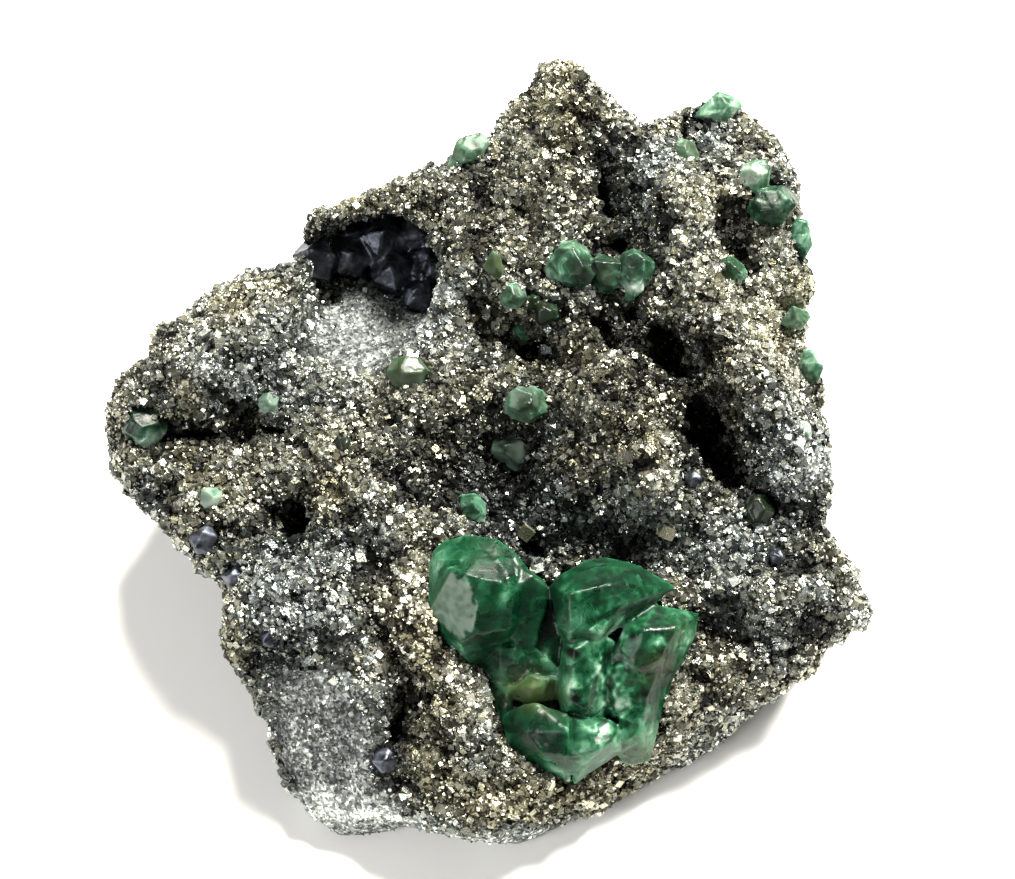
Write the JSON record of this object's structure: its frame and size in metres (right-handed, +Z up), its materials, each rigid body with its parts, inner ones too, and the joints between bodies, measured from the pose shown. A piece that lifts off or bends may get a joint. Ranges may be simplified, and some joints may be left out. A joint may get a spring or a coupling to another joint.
{
  "type": "fluorite on pyrite mineral specimen",
  "caption": "Natural hand specimen: clear green fluorite crystals on a knobbly lump of pyrite crystals, with dark galena in a hollow; it rests on its flat broken base.",
  "frame": {"origin": "middle of the specimen's box, on the surface it rests on", "axes": "+Z up from the resting surface; -Y towards the low edge with the great fluorite cluster, from where the crystal face is looked at; +X to the right of it"},
  "size_m": [0.1114, 0.1148, 0.0503],
  "materials": {
    "pyrite": "glittering brass-grey crust of small metallic crystals",
    "fluorite": "clear deep green, softly etched faces",
    "fluorite_pale": "clear pale green with frosted faces",
    "galena": "bluish lead-grey metallic, smooth faces"
  },
  "bodies": {
    "root": {"pyrite_matrix": "pyrite", "fluorite_great_cluster": "fluorite", "fluorite_upper_cluster": "fluorite", "fluorite_small_pair": "fluorite", "fluorite_right_pair": "fluorite", "fluorite_upper_left": "fluorite_pale", "fluorite_upper_olive": "fluorite", "fluorite_upper_drop": "fluorite", "fluorite_centre": "fluorite", "fluorite_centre_low": "fluorite", "fluorite_round": "fluorite", "fluorite_left_edge": "fluorite", "fluorite_left_small": "fluorite_pale", "fluorite_left_pale": "fluorite_pale", "fluorite_speck": "fluorite", "fluorite_hollow_rim": "fluorite_pale", "fluorite_top_edge": "fluorite", "fluorite_top_right": "fluorite", "fluorite_top_right_pale": "fluorite_pale", "fluorite_right_edge": "fluorite", "fluorite_right_pit": "fluorite", "fluorite_right_rim_small": "fluorite", "fluorite_right_rim": "fluorite", "fluorite_right_flake": "fluorite", "fluorite_lower_right": "fluorite", "galena_hollow_crust": "galena", "galena_right": "galena", "galena_low_right": "galena", "galena_left": "galena", "galena_left_rim": "galena", "galena_lump": "galena", "galena_bottom": "galena"}
  },
  "joints": []
}
